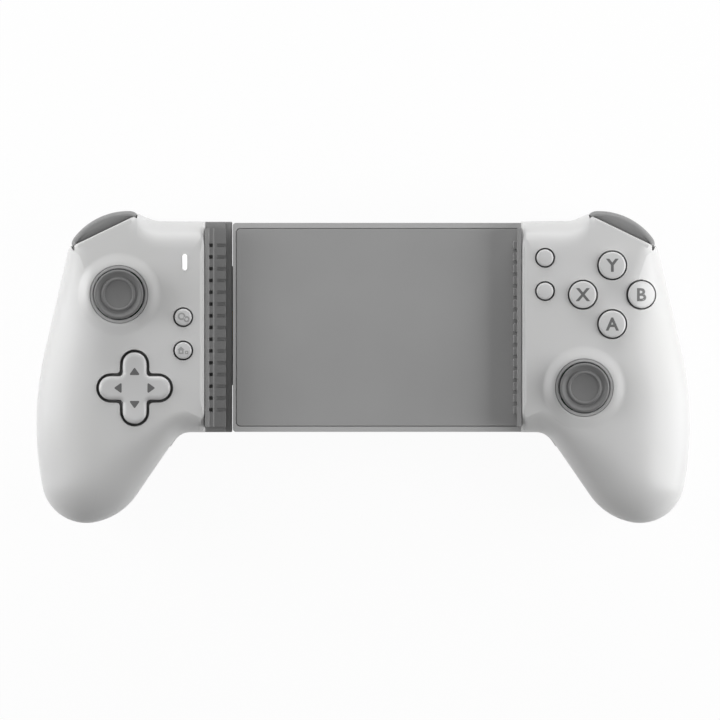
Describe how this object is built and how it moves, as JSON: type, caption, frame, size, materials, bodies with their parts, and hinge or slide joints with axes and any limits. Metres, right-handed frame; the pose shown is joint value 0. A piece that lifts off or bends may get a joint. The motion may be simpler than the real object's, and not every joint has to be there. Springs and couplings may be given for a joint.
{
  "type": "telescopic phone gamepad",
  "caption": "Gamepad whose two grips slide apart on a flat bridge and clamp round the ends of a phone, with thumb sticks, a direction pad, face buttons, bumpers and triggers.",
  "frame": {"origin": "on the table, under the middle of the whole part, grips pushed together", "axes": "+X from the left grip to the right grip as the player holds it, +Y towards the shoulder buttons, +Z out of the front face"},
  "size_m": [0.2184, 0.1042, 0.0545],
  "materials": {
    "white_shell": "satin moulded, very fine grain",
    "white_keys": "semi-gloss moulded",
    "grey_keys": "satin moulded",
    "bridge_grey": "satin moulded",
    "mat_grey": "matt, lightly textured sheet",
    "arm_grey": "matt moulded",
    "pad_rubber": "matt ribbed",
    "stick_rubber": "matt",
    "ring_grey": "satin",
    "silicone": "translucent moulded, matt",
    "inner_black": "matt moulded",
    "inner_white": "matt acetal",
    "steel": "drawn, bright",
    "board_green": "solder mask over glass fibre",
    "cell_wrap": "foil pouch, satin",
    "cable_film": "amber film",
    "light_guide": "clear, lit white"
  },
  "bodies": {
    "right_grip": {"right_front_shell": "white_shell", "right_rear_shell": "white_shell", "right_phone_pad": "pad_rubber", "right_circuit_board": "board_green", "right_grip_screws": "steel", "right_bumper_pin": "steel", "right_trigger_pin": "steel", "right_trigger_spring": "steel", "right_stick_ring": "ring_grey", "right_stick_housing": "steel", "menu_button_rubber": "silicone", "action_button_rubber": "silicone", "battery": "cell_wrap", "charging_socket": "steel", "bridge_case": "bridge_grey", "bridge_mat": "mat_grey", "bridge_rear_cover": "bridge_grey", "bridge_screws": "steel", "arm_springs": "steel", "flat_cable": "cable_film"},
    "left_grip": {"left_front_shell": "white_shell", "left_rear_shell": "white_shell", "left_phone_pad": "pad_rubber", "left_circuit_board": "board_green", "left_grip_screws": "steel", "left_bumper_pin": "steel", "left_trigger_pin": "steel", "left_trigger_spring": "steel", "left_stick_ring": "ring_grey", "left_stick_housing": "steel", "function_button_rubber": "silicone", "light_pipe": "light_guide", "sliding_arm": "arm_grey"},
    "y_button": {"y_button": "white_keys"},
    "x_button": {"x_button": "white_keys"},
    "b_button": {"b_button": "white_keys"},
    "a_button": {"a_button": "white_keys"},
    "menu_button_upper": {"menu_button_upper": "white_keys"},
    "menu_button_lower": {"menu_button_lower": "white_keys"},
    "function_button_upper": {"function_button_upper": "white_keys"},
    "function_button_lower": {"function_button_lower": "white_keys"},
    "right_bumper": {"right_bumper": "grey_keys"},
    "left_bumper": {"left_bumper": "grey_keys"},
    "right_trigger": {"right_trigger": "grey_keys"},
    "left_trigger": {"left_trigger": "grey_keys"},
    "direction_pad_rubber": {"direction_pad_rubber": "silicone"},
    "direction_pad": {"direction_pad": "white_keys"},
    "right_stick_carrier": {"right_stick_carrier": "inner_white"},
    "right_stick_pivot": {"right_stick_pivot": "inner_white"},
    "right_stick_arch": {"right_stick_arch": "inner_white"},
    "right_stick": {"right_stick_shaft": "inner_black", "right_stick_cap": "stick_rubber"},
    "left_stick_carrier": {"left_stick_carrier": "inner_white"},
    "left_stick_pivot": {"left_stick_pivot": "inner_white"},
    "left_stick_arch": {"left_stick_arch": "inner_white"},
    "left_stick": {"left_stick_shaft": "inner_black", "left_stick_cap": "stick_rubber"}
  },
  "joints": [
    {"name": "grip_slide", "type": "slide", "parent": "right_grip", "child": "left_grip", "axis": [-1, 0, 0], "range_m": [0, 0.078], "stiffness_N_per_m": 40, "springref_m": -0.12, "deforming": ["arm_springs", "flat_cable"]},
    {"name": "y_button_press", "type": "slide", "parent": "right_grip", "child": "y_button", "axis": [0, 0, -1], "range_m": [0, 0.001], "stiffness_N_per_m": 300},
    {"name": "x_button_press", "type": "slide", "parent": "right_grip", "child": "x_button", "axis": [0, 0, -1], "range_m": [0, 0.001], "stiffness_N_per_m": 300},
    {"name": "b_button_press", "type": "slide", "parent": "right_grip", "child": "b_button", "axis": [0, 0, -1], "range_m": [0, 0.001], "stiffness_N_per_m": 300},
    {"name": "a_button_press", "type": "slide", "parent": "right_grip", "child": "a_button", "axis": [0, 0, -1], "range_m": [0, 0.001], "stiffness_N_per_m": 300},
    {"name": "menu_button_upper_press", "type": "slide", "parent": "right_grip", "child": "menu_button_upper", "axis": [0, 0, -1], "range_m": [0, 0.001], "stiffness_N_per_m": 300},
    {"name": "menu_button_lower_press", "type": "slide", "parent": "right_grip", "child": "menu_button_lower", "axis": [0, 0, -1], "range_m": [0, 0.001], "stiffness_N_per_m": 300},
    {"name": "function_button_upper_press", "type": "slide", "parent": "left_grip", "child": "function_button_upper", "axis": [0, 0, -1], "range_m": [0, 0.001], "stiffness_N_per_m": 300},
    {"name": "function_button_lower_press", "type": "slide", "parent": "left_grip", "child": "function_button_lower", "axis": [0, 0, -1], "range_m": [0, 0.001], "stiffness_N_per_m": 300},
    {"name": "right_bumper_press", "type": "hinge", "parent": "right_grip", "child": "right_bumper", "pos_m": [0.07631, 0.04406, 0.0345], "axis": [0, 0, -1], "range_deg": [0, 3], "stiffness_Nm_per_rad": 0.6},
    {"name": "right_trigger_pull", "type": "hinge", "parent": "right_grip", "child": "right_trigger", "pos_m": [0.07331, 0.04705, 0.0256], "axis": [-0.9013, 0.4331, 0], "range_deg": [0, 18], "stiffness_Nm_per_rad": 0.15},
    {"name": "right_stick_sideways", "type": "hinge", "parent": "right_grip", "child": "right_stick_carrier", "pos_m": [0.0737, -0.0069, 0.0365], "axis": [0, 1, 0], "range_deg": [-15, 15], "stiffness_Nm_per_rad": 0.06},
    {"name": "right_stick_updown", "type": "hinge", "parent": "right_stick_carrier", "child": "right_stick_pivot", "pos_m": [0.0737, -0.0069, 0.0365], "axis": [1, 0, 0], "range_deg": [-15, 15], "stiffness_Nm_per_rad": 0.06},
    {"name": "right_stick_click", "type": "slide", "parent": "right_stick_pivot", "child": "right_stick", "axis": [0, 0, -1], "range_m": [0, 0.0004], "stiffness_N_per_m": 1500},
    {"name": "right_arch_swing", "type": "hinge", "parent": "right_grip", "child": "right_stick_arch", "pos_m": [0.0737, -0.0069, 0.0365], "axis": [1, 0, 0], "range_deg": [-15, 15]},
    {"name": "left_bumper_press", "type": "hinge", "parent": "left_grip", "child": "left_bumper", "pos_m": [-0.07631, 0.04406, 0.0345], "axis": [0, 0, 1], "range_deg": [0, 3], "stiffness_Nm_per_rad": 0.6},
    {"name": "left_trigger_pull", "type": "hinge", "parent": "left_grip", "child": "left_trigger", "pos_m": [-0.07331, 0.04705, 0.0256], "axis": [-0.9013, -0.4331, 0], "range_deg": [0, 18], "stiffness_Nm_per_rad": 0.15},
    {"name": "left_stick_sideways", "type": "hinge", "parent": "left_grip", "child": "left_stick_carrier", "pos_m": [-0.0814, 0.0242, 0.0365], "axis": [0, 1, 0], "range_deg": [-15, 15], "stiffness_Nm_per_rad": 0.06},
    {"name": "left_stick_updown", "type": "hinge", "parent": "left_stick_carrier", "child": "left_stick_pivot", "pos_m": [-0.0814, 0.0242, 0.0365], "axis": [1, 0, 0], "range_deg": [-15, 15], "stiffness_Nm_per_rad": 0.06},
    {"name": "left_stick_click", "type": "slide", "parent": "left_stick_pivot", "child": "left_stick", "axis": [0, 0, -1], "range_m": [0, 0.0004], "stiffness_N_per_m": 1500},
    {"name": "left_arch_swing", "type": "hinge", "parent": "left_grip", "child": "left_stick_arch", "pos_m": [-0.0814, 0.0242, 0.0365], "axis": [1, 0, 0], "range_deg": [-15, 15]},
    {"name": "direction_pad_updown", "type": "hinge", "parent": "left_grip", "child": "direction_pad_rubber", "pos_m": [-0.0762, -0.007, 0.041], "axis": [1, 0, 0], "range_deg": [-4, 4], "stiffness_Nm_per_rad": 0.3},
    {"name": "direction_pad_sideways", "type": "hinge", "parent": "direction_pad_rubber", "child": "direction_pad", "pos_m": [-0.0762, -0.007, 0.041], "axis": [0, 1, 0], "range_deg": [-4, 4], "stiffness_Nm_per_rad": 0.3}
  ],
  "couplings": [
    {"joint": "right_arch_swing", "follows": "right_stick_updown", "ratio": 1},
    {"joint": "left_arch_swing", "follows": "left_stick_updown", "ratio": 1}
  ]
}
